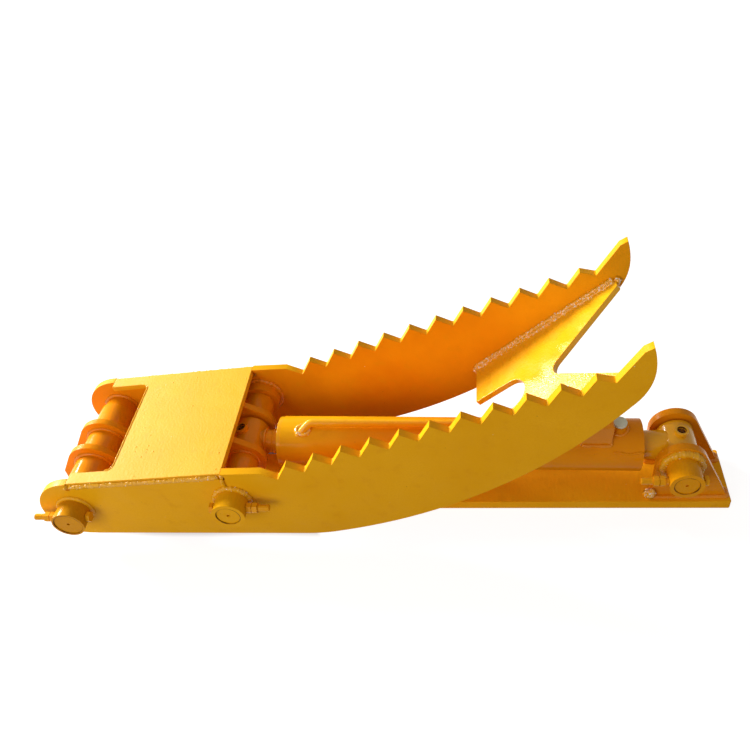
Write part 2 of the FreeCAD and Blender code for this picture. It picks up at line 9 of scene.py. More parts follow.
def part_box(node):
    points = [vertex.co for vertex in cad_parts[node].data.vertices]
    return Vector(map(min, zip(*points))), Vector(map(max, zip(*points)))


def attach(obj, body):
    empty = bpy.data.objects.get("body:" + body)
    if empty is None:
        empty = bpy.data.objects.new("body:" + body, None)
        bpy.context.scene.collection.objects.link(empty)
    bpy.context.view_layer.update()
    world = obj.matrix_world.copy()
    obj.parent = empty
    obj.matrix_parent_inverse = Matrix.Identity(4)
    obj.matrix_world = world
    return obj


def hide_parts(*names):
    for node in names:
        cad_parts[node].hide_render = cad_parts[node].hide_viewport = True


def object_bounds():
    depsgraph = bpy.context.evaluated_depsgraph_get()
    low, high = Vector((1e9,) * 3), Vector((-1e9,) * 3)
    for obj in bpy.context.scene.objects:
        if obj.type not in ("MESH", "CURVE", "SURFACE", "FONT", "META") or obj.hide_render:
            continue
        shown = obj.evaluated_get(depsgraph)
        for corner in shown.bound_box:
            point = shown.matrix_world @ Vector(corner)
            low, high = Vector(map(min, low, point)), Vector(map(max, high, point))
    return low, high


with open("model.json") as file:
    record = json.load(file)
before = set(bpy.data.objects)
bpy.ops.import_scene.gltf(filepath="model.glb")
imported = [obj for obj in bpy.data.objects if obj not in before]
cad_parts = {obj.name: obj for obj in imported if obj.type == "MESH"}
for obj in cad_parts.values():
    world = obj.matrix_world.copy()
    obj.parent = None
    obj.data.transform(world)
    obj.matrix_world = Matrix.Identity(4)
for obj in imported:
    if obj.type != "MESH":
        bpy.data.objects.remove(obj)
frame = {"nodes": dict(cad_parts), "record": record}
nodes = frame["nodes"]
bodies = frame["record"]["behaviour"]["bodies"]
slotOf = {part["node"]: part["material_slot"] for part in frame["record"]["subparts"]}
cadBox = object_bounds()
mm = 0.001

# Main places, all read from the frame
nearSide, farSide = -1.0, 1.0
tineLow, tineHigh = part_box("tine_far")
tineOuter = tineHigh.y
tineInner = tineLow.y


def axisOf(pin):
    # Where a pin's axis crosses the middle plane
    low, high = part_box(pin)
    return Vector(((low.x + high.x) / 2, 0, (low.z + high.z) / 2))


mainPivot = axisOf("main_pivot_pin")
rodPin = axisOf("rod_pin_middle")
basePin = axisOf("cylinder_base_pin")
barrelWay = (rodPin - basePin).normalized()
barrelUp = Vector((-barrelWay.z, 0, barrelWay.x))
if barrelUp.z < 0:
    barrelUp = -barrelUp
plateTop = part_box("base_plate")[1].z
print("frame read:", len(nodes), "nodes")


# Camera, from the photograph's own view
camera = {
    "place": (0.8126, -1.0416, 1.2569),
    "turn": 9.18,          # degrees to the left of straight ahead, seen from above
    "tip": 43.52,          # degrees down
    "roll": -7.38,
    "lens": 37.27,
    "shift": (-0.0339, 0.0273),
}


def makeCamera():
    data = bpy.data.cameras.new("camera")
    data.lens = camera["lens"]
    data.sensor_width = 36.0
    data.shift_x, data.shift_y = camera["shift"]
    data.clip_start, data.clip_end = 0.05, 60.0
    rig = bpy.data.objects.new("camera", data)
    bpy.context.scene.collection.objects.link(rig)
    turn = Matrix.Rotation(math.radians(camera["turn"]), 4, "Z")
    tip = Matrix.Rotation(math.radians(90.0 - camera["tip"]), 4, "X")
    roll = Matrix.Rotation(math.radians(camera["roll"]), 4, "Z")
    rig.matrix_world = Matrix.Translation(camera["place"]) @ turn @ tip @ roll
    bpy.context.scene.camera = rig


makeCamera()
print("camera set")


# Materials. Every one reads Object coordinates, so a pattern stays on its piece.
def addMath(tree, operation, first, second=0.0):
    node = tree.nodes.new("ShaderNodeMath")
    node.operation = operation
    for socket, value in zip(node.inputs, (first, second)):
        if isinstance(value, float):
            socket.default_value = value
        else:
            tree.links.new(value, socket)
    return node.outputs["Value"]


def addSpread(tree, value, low, high, first, last):
    # Carries the span from low to high over to the span from first to last
    node = tree.nodes.new("ShaderNodeMapRange")
    for socket, number in zip(("From Min", "From Max", "To Min", "To Max"), (low, high, first, last)):
        node.inputs[socket].default_value = number
    tree.links.new(value, node.inputs["Value"])
    return node.outputs["Result"]


# Noise masks: scale per metre, detail and roughness, the span of the noise, and what its ends give
pattern = {
    "cloud": (7.0, 4.0, 0.55, 0.36, 0.66, 1.0, 0.0),
    "grain": (300.0, 2.0, 0.60, 0.34, 0.68, 0.0, 0.85),
    "thin": (38.0, 5.0, 0.62, 0.56, 0.74, 0.0, 0.50),
    "nibArea": (11.0, 2.0, 0.50, 0.50, 0.56, 0.0, 0.80),
    "pitArea": (17.0, 2.0, 0.50, 0.53, 0.60, 0.0, 1.0),
    "gapArea": (55.0, 2.0, 0.50, 0.38, 0.60, 0.25, 1.0),
    "neckEdge": (160.0, 4.0, 0.60, 0.30, 0.70, -1.5 * mm, 1.5 * mm),
    "neckGrain": (300.0, 3.0, 0.60, 0.35, 0.65, 0.0, 1.0),
}
maskEdge = {
    "ringFull": 0.6,       # share of a ring's half width that is covered in full
    "sideFade": 0.2 * mm,
    "ballFade": 0.3 * mm,
}


class Finish:
    def __init__(self, name):
        self.material = bpy.data.materials.new(name)
        self.material.use_nodes = True
        self.tree = self.material.node_tree
        self.shader = self.tree.nodes["Principled BSDF"]
        self.coordinates = self.tree.nodes.new("ShaderNodeTexCoord").outputs["Object"]

    def link(self, start, end):
        self.tree.links.new(start, end)

    def set(self, values):
        for name, value in values.items():
            self.shader.inputs[name].default_value = value

    def noise(self, scale, detail=3.0, roughness=0.5, stretch=None):
        node = self.tree.nodes.new("ShaderNodeTexNoise")
        node.inputs["Scale"].default_value = scale
        node.inputs["Detail"].default_value = detail
        node.inputs["Roughness"].default_value = roughness
        self.link(self.stretched(stretch), node.inputs["Vector"])
        return node.outputs["Fac"]

    def stretched(self, stretch):
        if stretch is None:
            return self.coordinates
        node = self.tree.nodes.new("ShaderNodeMapping")
        node.inputs["Scale"].default_value = stretch
        self.link(self.coordinates, node.inputs["Vector"])
        return node.outputs["Vector"]

    def dots(self, scale, full, gone, strength):
        # A round spot in each cell of a scattered pattern
        node = self.tree.nodes.new("ShaderNodeTexVoronoi")
        node.inputs["Scale"].default_value = scale
        self.link(self.coordinates, node.inputs["Vector"])
        return self.spread(node.outputs["Distance"], full, gone, strength, 0.0)

    def spread(self, value, low, high, first, last):
        return addSpread(self.tree, value, low, high, first, last)

    def math(self, operation, first, second=0.0):
        return addMath(self.tree, operation, first, second)

    def mask(self, kind):
        scale, detail, roughness, low, high, first, last = pattern[kind]
        return self.spread(self.noise(scale, detail, roughness), low, high, first, last)

    def mix(self, factor, first, second):
        node = self.tree.nodes.new("ShaderNodeMix")
        node.data_type = "RGBA"
        self.link(factor, node.inputs["Factor"])
        for socket, value in ((node.inputs["A"], first), (node.inputs["B"], second)):
            if isinstance(value, tuple):
                socket.default_value = (*value, 1.0)
            else:
                self.link(value, socket)
        return node.outputs["Result"]

    def along(self, axis):
        node = self.tree.nodes.new("ShaderNodeSeparateXYZ")
        self.link(self.coordinates, node.inputs[0])
        return node.outputs[axis]

    def alongWay(self, way):
        node = self.tree.nodes.new("ShaderNodeVectorMath")
        node.operation = "DOT_PRODUCT"
        self.link(self.coordinates, node.inputs[0])
        node.inputs[1].default_value = way
        return node.outputs["Value"]

    def ringMask(self, centre, radius, half):
        # One on a thin ring round an axis across the object, on the near side of the centre only
        across = self.math("SUBTRACT", self.along("X"), centre.x)
        upward = self.math("SUBTRACT", self.along("Z"), centre.z)
        square = self.math("ADD", self.math("MULTIPLY", across, across), self.math("MULTIPLY", upward, upward))
        off = self.math("ABSOLUTE", self.math("SUBTRACT", self.math("SQRT", square), radius))
        ring = self.spread(off, half * maskEdge["ringFull"], half, 1.0, 0.0)
        fade = maskEdge["sideFade"]
        return self.math("MULTIPLY", ring, self.spread(self.along("Y"), centre.y - fade, centre.y + fade, 1.0, 0.0))

    def shadeBallMask(self, centre, radius):
        # One inside a ball, for the painted shade in the well round a nipple
        total = None
        for axis, middle in zip("XYZ", centre):
            gap = self.math("SUBTRACT", self.along(axis), float(middle))
            square = self.math("MULTIPLY", gap, gap)
            total = square if total is None else self.math("ADD", total, square)
        return self.spread(self.math("SQRT", total), radius - maskEdge["ballFade"], radius, 1.0, 0.0)

    def bump(self, layers):
        # Each layer is a height output with its depth in metres.
        normal = None
        for height, depth in layers:
            node = self.tree.nodes.new("ShaderNodeBump")
            node.inputs["Distance"].default_value = depth
            self.link(height, node.inputs["Height"])
            if normal is not None:
                self.link(normal, node.inputs["Normal"])
            normal = node.outputs["Normal"]
        self.link(normal, self.shader.inputs["Normal"])


enamel = {
    "sunny": (0.880, 0.450, 0.010),
    "deep": (0.820, 0.395, 0.005),
    "thin": (0.740, 0.320, 0.004),
    "orange": (0.850, 0.320, 0.004),    # painted shade: the orange that shade and bounce light give faces inside the thumb
    "orangeDeep": (0.770, 0.255, 0.003),
    "fleck": (0.980, 0.800, 0.360),
    "bare": (0.950, 0.930, 0.880),      # bare spatter through the film, and painted highlights that stand in for glints on the welds
    "pit": (0.240, 0.085, 0.006),
    "gap": (0.170, 0.055, 0.004),       # painted shade in the gap round a pin's end, in the wells round the nipples and along the gland's groove
    "gapHalf": 1.1 * mm,
    "grooveFull": 0.7,                  # share of the gap's half that is dark in full
    "grooveShade": 0.9,
    "nibs": (34.0, 0.020, 0.045, 1.0),  # scale per metre, full and gone distance, strength
    "pits": (61.0, 0.030, 0.060, 0.8),
    "nibHeight": 0.25 * mm,
    "innerFade": 1.2 * mm,
    "clawSpan": (0.62, 1.02),           # x, over which the painted shade on the inside of a tine fades
    "clawShare": 0.35,
    "bareNoise": (240.0, 3.0, 0.65),
    "bareSpan": (0.66, 0.69),
    "sheenSpan": (-0.06, 0.12),         # how far the roughness strays
    "waveNoise": (18.0, 2.0),
    "peelNoise": (230.0, 2.0, 0.5),
    "millNoise": (150.0, 4.0, 0.6, (1.0, 0.35, 1.0)),
}


def makeEnamel(name, rough=0.34, peel=0.22 * mm, wave=0.5 * mm, bareAndGlintFlecks=0.0, mill=0.0, coat=0.0, gloss=0.06,
               tones=None, shadedInsideOf=None, orangeShadeFrom=None, gapShadeRing=None, shadeWells=(), groove=None, thin="thin"):
    # Sprayed enamel: cloudy tone, fine grain, dust nibs and pits, orange peel over plate waviness.
    finish = Finish(name)
    first, second = (enamel[tone] if isinstance(tone, str) else tone for tone in tones or ("sunny", "deep"))
    cloud = finish.mask("cloud")
    colour = finish.mix(cloud, first, second)
    colour = finish.mix(finish.mask("grain"), colour, second)
    # Painted shade: faces inside the thumb, and the barrel towards its shaded end, get orange tones that stand in for
    # shade and bounce light
    shadeShare = None
    if shadedInsideOf is not None:
        across = finish.math("ABSOLUTE", finish.along("Y"))
        towardsClaw = finish.spread(finish.along("X"), *enamel["clawSpan"], 1.0, enamel["clawShare"])
        shadeShare = finish.math("MULTIPLY", finish.spread(across, shadedInsideOf, shadedInsideOf + enamel["innerFade"], 1.0, 0.0),
                            towardsClaw)
    elif orangeShadeFrom is not None:
        shadeShare = finish.spread(finish.along("X"), *orangeShadeFrom, 0.0, 1.0)
    if shadeShare is not None:
        colour = finish.mix(shadeShare, colour, finish.mix(cloud, enamel["orange"], enamel["orangeDeep"]))
    colour = finish.mix(finish.mask("thin"), colour, enamel[thin])
    nib = finish.dots(*enamel["nibs"])
    colour = finish.mix(finish.math("MULTIPLY", nib, finish.mask("nibArea")), colour, enamel["fleck"])
    pit = finish.math("MULTIPLY", finish.dots(*enamel["pits"]), finish.mask("pitArea"))
    colour = finish.mix(pit, colour, enamel["pit"])
    # Near-white flecks: bare spatter, and also painted highlights that stand in for glints
    if bareAndGlintFlecks:
        low, high = enamel["bareSpan"]
        bare = finish.spread(finish.noise(*enamel["bareNoise"]), low - bareAndGlintFlecks, high - bareAndGlintFlecks, 0.0, 1.0)
        colour = finish.mix(bare, colour, enamel["bare"])
    # Painted shade: darker in the nipple wells, in the gap round a pin's end and along the gland's groove
    paintedShades = [finish.shadeBallMask(centre, radius) for centre, radius in shadeWells]
    if gapShadeRing is not None:
        paintedShades.append(finish.math("MULTIPLY", finish.ringMask(*gapShadeRing, enamel["gapHalf"]), finish.mask("gapArea")))
    # Painted shade: a dark line round the gland where its groove's shade lies
    if groove is not None:
        off = finish.math("ABSOLUTE", finish.math("SUBTRACT", finish.alongWay(barrelWay), groove))
        half = enamel["gapHalf"]
        paintedShades.append(finish.spread(off, half * enamel["grooveFull"], half, enamel["grooveShade"], 0.0))
    for shade in paintedShades:
        colour = finish.mix(shade, colour, enamel["gap"])
    finish.link(colour, finish.shader.inputs["Base Color"])
    smooth, dull = (rough + stray for stray in enamel["sheenSpan"])
    finish.link(finish.spread(finish.noise(26.0), 0.3, 0.7, smooth, dull), finish.shader.inputs["Roughness"])
    finish.set({"Specular IOR Level": gloss, "Coat Weight": coat, "Coat Roughness": 0.10, "IOR": 1.5})
    layers = [(finish.noise(*enamel["waveNoise"]), wave), (finish.noise(*enamel["peelNoise"]), peel)]
    if mill:
        layers.append((finish.noise(*enamel["millNoise"]), mill))
    finish.bump(layers + [(nib, enamel["nibHeight"])])
    return finish.material


rodPaint = {
    "edge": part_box("gland")[0].x - 3.0 * mm,
    "fade": 0.4 * mm,
    "chrome": (0.80, 0.80, 0.80),
    "roughness": (0.26, 0.10),   # paint, chrome
    "peel": (330.0, 2.0, 0.4),
    "peelDepth": 0.03 * mm,
    "filmDepth": 0.12 * mm,
    "gloss": 0.10,
}


def makeRodFinish():
    # Hard chrome, with the short neck that stood out of the gland sprayed over in the works.
    finish = Finish("paintedNeckChrome")
    place = finish.math("ADD", finish.along("X"), finish.mask("neckEdge"))
    edge, fade = rodPaint["edge"], rodPaint["fade"]
    bare = finish.spread(place, edge - fade, edge + fade, 0.0, 1.0)
    sprayed = finish.mix(finish.mask("neckGrain"), enamel["orange"], enamel["orangeDeep"])
    finish.link(finish.mix(bare, sprayed, rodPaint["chrome"]), finish.shader.inputs["Base Color"])
    finish.link(bare, finish.shader.inputs["Metallic"])
    finish.set({"Specular IOR Level": rodPaint["gloss"]})
    finish.link(finish.spread(bare, 0.0, 1.0, *rodPaint["roughness"]), finish.shader.inputs["Roughness"])
    finish.bump([(finish.noise(*rodPaint["peel"]), rodPaint["peelDepth"]), (bare, rodPaint["filmDepth"])])
    return finish.material


def makePlain(name, colour, second, rough, scale, depth, metal=0.0, span=(0.35, 0.65), finer=2.5, fineness=0.5):
    # One tone that strays to a second, with the roughness following it
    finish = Finish(name)
    tone = finish.spread(finish.noise(scale, 4.0, 0.6), *span, 0.0, 1.0)
    finish.link(finish.mix(tone, colour, second), finish.shader.inputs["Base Color"])
    finish.link(finish.spread(tone, 0.0, 1.0, rough, rough + 0.12), finish.shader.inputs["Roughness"])
    finish.set({"Metallic": metal})
    finish.bump([(finish.noise(scale * finer, 3.0, fineness), depth)])
    return finish.material


def makeMetal(*values):
    return makePlain(*values, metal=1.0, span=(0.3, 0.7), finer=3.0, fineness=0.6)


def middleOf(node):
    return sum(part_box(node), Vector()) / 2


# Painted shade in the recessed wells round the grease nipples
shadeWells = [(middleOf(node), 9.4 * mm) for node in ("barrel_grease_nipple", "rod_grease_nipple")]
glandShadeLine = middleOf("gland")
glandShadeLine.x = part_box("gland")[0].x + 11.0 * mm
turned = {"rough": 0.18, "peel": 0.14 * mm, "wave": 0.4 * mm}
# Painted shade: the orange tones for the pieces inside stand in for their shade and bounce light
shadedInside = {"tones": ("orange", "orangeDeep"), "thin": "orangeDeep"}
paint = {name: makeEnamel(name + "Enamel", **values) for name, values in {
    "plate": {"rough": 0.44, "peel": 0.55 * mm, "gloss": 0.20},
    "tine": {"peel": 0.36 * mm, "shadedInsideOf": tineInner + 0.6 * mm},
    "innerPlate": {"rough": 0.24, "peel": 0.36 * mm, **shadedInside},
    "web": {"rough": 0.24, "peel": 0.60 * mm, "gloss": 0.40,
            "tones": ((0.930, 0.520, 0.012), (0.880, 0.460, 0.008))},
    # Painted light: the base plate's brighter tones stand in for light on its top
    "millPlate": {"mill": 0.80 * mm, "gloss": 0.03, "tones": ((0.990, 0.500, 0.012), (0.930, 0.420, 0.008))},
    "tube": {"coat": 0.22, "gloss": 0.12, "shadeWells": shadeWells, **turned},
    "gland": {"coat": 0.18, "gloss": 0.10, "groove": glandShadeLine.dot(barrelWay), **turned},
    # Painted shade: the barrel turns orange towards larger x, where the tines' shadow falls on it
    "turned": {"coat": 0.05, "gloss": 0.04, "orangeShadeFrom": (0.50, 0.90), **turned},
    "innerTurned": {"coat": 0.12, "gloss": 0.05, "shadeWells": shadeWells, **shadedInside, **turned},
    "bolt": {"rough": 0.24, "peel": 0.12 * mm, "wave": 0.3 * mm, "coat": 0.03,
             "tones": ((0.860, 0.400, 0.008), (0.780, 0.330, 0.005))},
    "weld": {"rough": 0.18, "peel": 0.30 * mm, "coat": 0.20, "gloss": 0.15, **shadedInside},
    "sunnyWeld": {"rough": 0.22, "peel": 0.30 * mm, "coat": 0.12, "gloss": 0.12},
    "nickedWeld": {"rough": 0.22, "peel": 0.40 * mm, "bareAndGlintFlecks": 0.015, "coat": 0.20, "gloss": 0.20},
    "wetWeld": {"rough": 0.12, "peel": 0.40 * mm, "bareAndGlintFlecks": 0.005, "coat": 0.22, "gloss": 0.12},
    "spatterWeld": {"rough": 0.16, "peel": 0.50 * mm, "bareAndGlintFlecks": 0.07, "coat": 0.45, "gloss": 0.40},
}.items()}
bronze = makeMetal("turnedBronze", (0.62, 0.38, 0.15), (0.50, 0.29, 0.10), 0.30, 240.0, 0.04 * mm)
turnedSteel = makeMetal("turnedSteel", (0.56, 0.56, 0.57), (0.44, 0.44, 0.45), 0.28, 260.0, 0.04 * mm)
rubber = makePlain("sealRubber", (0.022, 0.022, 0.022), (0.045, 0.044, 0.042), 0.55, 120.0, 0.06 * mm)
plugPlastic = makePlain("plugPlastic", (0.74, 0.80, 0.66), (0.66, 0.73, 0.58), 0.38, 60.0, 0.05 * mm)
finishOfSlot = {
    "yellow_paint": paint["plate"], "painted_bolts": paint["bolt"], "bronze": bronze,
    "chromed_rod": makeRodFinish(), "machined_steel": turnedSteel, "seal_rubber": rubber,
    "plug_plastic": plugPlastic,
}

# Each near pin end with its boss, as the painted shade in the gap between them is drawn across both
pinEnds = {
    # Painted shade: the main pivot's darker tones and the base pin's more orange tones stand in for shade on these
    # faces
    "main_pivot_pin": {"boss": "pivot_boss_near", "axis": mainPivot, "radius": 27.5 * mm,
                       "tones": ((0.690, 0.310, 0.008), (0.610, 0.255, 0.005))},
    "rod_pin_end_near": {"boss": "rod_pin_boss_near", "axis": rodPin, "radius": 22.5 * mm, "tones": None},
    "cylinder_base_pin": {"boss": "cylinder_lug_boss_near", "axis": basePin, "radius": 22.5 * mm,
                          "tones": ((0.860, 0.380, 0.005), (0.780, 0.310, 0.003))},
}
pinGap = {"clearance": 0.4 * mm, "drawnFrom": 8.0 * mm}
finishOfNode = {}
for pinNode, end in pinEnds.items():
    start = Vector((end["axis"].x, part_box(end["boss"])[0].y + pinGap["drawnFrom"], end["axis"].z))
    made = makeEnamel("pinEnd_" + pinNode, gapShadeRing=(start, end["radius"] + pinGap["clearance"]), coat=0.02,
                      gloss=0.03, tones=end["tones"], **turned)
    finishOfNode[pinNode] = finishOfNode[end["boss"]] = made
for name, group in {
    "tine": ("tine_far", "tine_near"),
    "web": ("web_plate",),
    "millPlate": ("base_plate",),
    "gland": ("gland",),
    "tube": ("barrel_eye", "oil_pipe"),
    "turned": ("barrel_tube", "port_boss"),
    "innerTurned": ("pivot_inner_boss_far", "pivot_inner_boss_near", "rod_pin_inner_boss_far",
                    "rod_pin_inner_boss_near", "rod_pin_spacer_far", "rod_pin_spacer_near", "rod_pin_end_far",
                    "pivot_tube", "barrel_end_cap", "valve_block", "rod_eye", "barrel_grease_nipple",
                    "rod_grease_nipple"),
    "innerPlate": ("pivot_lug_far", "pivot_lug_near", "inner_lug_far", "inner_lug_near", "cylinder_lug_far",
                   "cylinder_lug_near"),
}.items():
    finishOfNode.update(dict.fromkeys(group, paint[name]))
print("materials made")


# The steel pieces: each solid with its burred edges rounded over, as flame cut and painted steel has them
softEdge = {
    "width": 0.9 * mm,
    "segments": 2,
    "sharpFrom": 32.0,     # degrees between two faces
    "mergeWithin": 0.004 * mm,
    "flatWithin": 0.6,     # degrees
}
edgeWidth = {node: width * mm for width, group in (
    (1.5, ("cover_plate",)),
    (1.3, ("main_pivot_pin", "rod_pin_end_far", "rod_pin_end_near", "cylinder_base_pin", "web_plate")),
    (1.2, ("base_plate", "barrel_eye", "rod_eye")),
    (0.8, ("gland", "port_plug")),
    (0.4, ("barrel_grease_nipple", "rod_grease_nipple", "pivot_pin_nuts", "rod_pin_nuts", "base_pin_nuts",
           "pivot_pin_bolts", "rod_pin_bolts", "base_pin_bolts")),
    (0.3, ("wiper_seal", "rod_seal", "piston_seal")),
) for node in group}


def pieceFrom(work, name, material, body):
    for face in work.faces:
        face.smooth = True
    mesh = bpy.data.meshes.new(name)
    work.to_mesh(mesh)
    work.free()
    mesh.materials.append(material)
    piece = bpy.data.objects.new(name, mesh)
    bpy.context.scene.collection.objects.link(piece)
    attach(piece, body)
    return piece


def dressNode(node, body):
    work = bmesh.new()
    work.from_mesh(nodes[node].data)
    bmesh.ops.remove_doubles(work, verts=work.verts, dist=softEdge["mergeWithin"])
    bmesh.ops.dissolve_limit(work, angle_limit=math.radians(softEdge["flatWithin"]),
                             verts=work.verts, edges=work.edges)
    slot = slotOf[node]
    piece = pieceFrom(work, "dressed_" + node, finishOfNode.get(node, finishOfSlot[slot]), body)
    bevel = piece.modifiers.new("softEdges", "BEVEL")
    bevel.width = edgeWidth.get(node, softEdge["width"])
    bevel.segments = softEdge["segments"]
    bevel.limit_method = "ANGLE"
    bevel.angle_limit = math.radians(softEdge["sharpFrom"])
    bevel.use_clamp_overlap = True
    even = piece.modifiers.new("evenNormals", "WEIGHTED_NORMAL")
    even.mode = "FACE_AREA"
    even.weight = 100
    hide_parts(node)


for body, members in bodies.items():
    for node in members:
        dressNode(node, body)
print("steel pieces dressed")


# Weld beads. A bead is a ring drawn along a path, with ripples, small lumps and rounded ends.
bead = {
    "sides": 10,
    "step": 1.3 * mm,
    "fewestSteps": 6,
    "ringSteps": 72,
    "ripple": 3.9 * mm,    # one ripple of the puddle
    "rippleDepth": 0.10,   # share of the radius
    "crescent": 0.55,      # how far the ripples bow back, in radii
    "lumps": 0.16,
    "lumpSize": 95.0,
    "endShare": 0.45,
    "rough": 0.16,         # small jags over the whole bead, in radii
    "roughSize": 400.0,
}


def evenPath(points, closed):
    # Points every step along the path, and the step's true length.
    loop = points + [points[0]] if closed else points
    lengths = [(b - a).length for a, b in zip(loop, loop[1:])]
    total = sum(lengths)
    count = max(bead["fewestSteps"], round(total / bead["step"]))
    made = []
    index, passed = 0, 0.0
    for number in range(count if closed else count + 1):
        want = total * number / count
        while index < len(lengths) - 1 and passed + lengths[index] < want:
            passed += lengths[index]
            index += 1
        share = (want - passed) / max(lengths[index], 1e-9)
        made.append(loop[index].lerp(loop[index + 1], min(share, 1.0)))
    return made, total / count


def nearestOf(vert, base):
    return min(base, key=lambda other: (other.co - vert.co).length_squared)


def grownRing(work, ring, base):
    # The next ring of edges, each of its points with the place on the round that it came from
    grown = bmesh.ops.extrude_edge_only(work, edges=ring)["geom"]
    fresh = [item for item in grown if isinstance(item, bmesh.types.BMVert)]
    ring = [item for item in grown if isinstance(item, bmesh.types.BMEdge)
            and item.verts[0] in fresh and item.verts[1] in fresh]
    return ring, {vert: base[nearestOf(vert, base)] for vert in fresh}


def beadSize(radius, along, left, place, seed, closed):
    phase = (along / bead["ripple"]) % 1.0
    size = radius * (1.0 + bead["rippleDepth"] * (0.5 - phase))
    size *= 1.0 + bead["lumps"] * noise.noise(place * bead["lumpSize"] + Vector((seed, 0, 0)))
    if not closed and left < 1.0:
        size *= bead["endShare"] + (1.0 - bead["endShare"]) * math.sqrt(max(0.0, 1.0 - (1.0 - left) ** 2))
    return size


def weldBead(name, points, outward, radius, body, closed=False, material=None, seed=0.0, rough=bead["rough"]):
    # outward gives the direction that a point of the bead faces.
    places, step = evenPath(points, closed)
    work = bmesh.new()
    bmesh.ops.create_circle(work, cap_ends=False, segments=bead["sides"], radius=1.0)
    ring = list(work.edges)
    base = {vert: vert.co.copy() for vert in work.verts}
    rings = []
    for number, place in enumerate(places):
        if number:
            ring, base = grownRing(work, ring, base)
        ahead = places[(number + 1) % len(places)] if closed or number + 1 < len(places) else place
        behind = places[number - 1] if closed or number else place
        tangent = (ahead - behind).normalized()
        up = outward(place)
        up = (up - tangent * up.dot(tangent)).normalized()
        side = tangent.cross(up)
        left = min(number, len(places) - 1 - number) * step / radius
        size = beadSize(radius, number * step, left, place, seed, closed)
        for vert, shape in base.items():
            lag = tangent * (bead["crescent"] * radius * max(0.0, shape.y))
            out = (side * shape.x + up * shape.y) * size
            jag = noise.noise((place + out) * bead["roughSize"] + Vector((0, seed, 3.0)))
            vert.co = place + out * (1.0 + rough * jag) - lag
        rings.append(ring)
    if closed:
        bmesh.ops.bridge_loops(work, edges=rings[0] + rings[-1])
    else:
        bmesh.ops.contextual_create(work, geom=rings[0])
        bmesh.ops.contextual_create(work, geom=rings[-1])
    bmesh.ops.recalc_face_normals(work, faces=work.faces)
    return pieceFrom(work, name, material or paint["weld"], body)


def ringBead(name, centre, radius, axis, body, size, material=None, seed=0.0, rough=bead["rough"]):
    # A fillet round a tube that stands on a plate; axis points away from the plate.
    first = Vector((1, 0, 0)) if abs(axis.y) > 0.9 else axis.orthogonal().normalized()
    second = axis.cross(first)
    angles = [math.radians(360.0 * i / bead["ringSteps"]) for i in range(bead["ringSteps"])]
    points = [centre + (first * math.cos(a) + second * math.sin(a)) * radius for a in angles]

    def outward(place):
        flatPart = place - centre
        flatPart -= axis * flatPart.dot(axis)
        return (flatPart.normalized() + axis).normalized()
    return weldBead(name, points, outward, size, body, True, material, seed, rough)


def lineBead(name, points, direction, size, body, material=None, seed=0.0, rough=bead["rough"]):
    way = Vector(direction).normalized()
    return weldBead(name, points, lambda place: way, size, body, False, material, seed, rough)


def atY(point, y):
    return Vector((point.x, y, point.z))


# Every boss and tube that is welded to a plate. In mm: its radius, the plate's face from the middle plane and
# the bead's size. Then the way off the plate, the body, the sides, the paint and how rough the bead is.
bothSides, nearOnly, farOnly = ((farSide, "far"), (nearSide, "near")), ((nearSide, "near"),), ((farSide, "far"),)
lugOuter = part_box("cylinder_lug_far")[1].y / mm
heavyRough, plainRough = 0.45, bead["rough"]
ringWelds = {
    "pivot_boss": (mainPivot, 32.5, 150.0, 5.2, 1, "thumb", nearOnly, "sunnyWeld", plainRough),
    "rod_pin_boss": (rodPin, 32.5, 150.0, 6.4, 1, "thumb", nearOnly, "wetWeld", heavyRough),
    "pin_end_pivot": (mainPivot, 28.4, 150.0, 2.6, 1, "thumb", farOnly, "sunnyWeld", plainRough),
    "pin_end_rod": (rodPin, 23.4, 150.0, 2.6, 1, "thumb", farOnly, "sunnyWeld", plainRough),
    "pivot_inner_boss": (mainPivot, 34.0, 134.0, 4.6, -1, "thumb", bothSides, "weld", plainRough),
    "rod_pin_inner_boss": (rodPin, 41.5, 134.0, 5.8, -1, "thumb", bothSides, "weld", heavyRough),
    "rod_pin_spacer": (rodPin, 30.8, 55.0, 3.6, 1, "thumb", bothSides, "weld", plainRough),
    "pivot_tube_outer": (mainPivot, 38.3, 42.0, 4.0, 1, "base", bothSides, "weld", plainRough),
    "pivot_tube_inner": (mainPivot, 38.3, 28.0, 4.0, -1, "base", bothSides, "weld", plainRough),
    "cylinder_lug_boss": (basePin, 34.0, lugOuter, 8.6, 1, "base", nearOnly, "wetWeld", heavyRough),
}


def makeRingBeads():
    for name, (centre, radius, y, size, way, body, sides, kind, rough) in ringWelds.items():
        for side, word in sides:
            ringBead("weld_" + name + "_" + word, atY(centre, side * y * mm), radius * mm, Vector((0, side * way, 0)),
                     body, size * mm, paint[kind], y + side, rough)


makeRingBeads()
print("ring welds made")


# Straight welds of the thumb
coverPlate = {
    "slope": 5.0,
    "thickness": 12.0 * mm,
    "beadSize": 4.5 * mm,
    "beadOut": 149.2 * mm,
    "beadLift": 4.0 * mm,   # above the underside
    "endGap": 6.0 * mm,
    "facing": 0.45,         # how far the bead along the edge faces up
    "cornerBead": 5.4 * mm,
    "cornerStep": 5.0 * mm,
    "cornerFacing": 0.8,
    # The corner bead's points: steps along the edge, depth under the top face, distance inwards
    "cornerPath": ((-0.4, 7.0 * mm, 4.0 * mm), (0.2, 7.5 * mm, 0.0), (1.0, 8.0 * mm, 0.0)),
    "runBead": 3.8 * mm,    # the run from the front corner to the rod pin's boss
    "runTop": (-1.5 * mm, 11.0 * mm),
    "runFoot": (-6.0 * mm, 34.0 * mm),
    "runOut": 0.2 * mm,
    "rough": (0.5, 0.6, 0.5),   # edge, corner, run
}
coverSlope = math.radians(coverPlate["slope"])
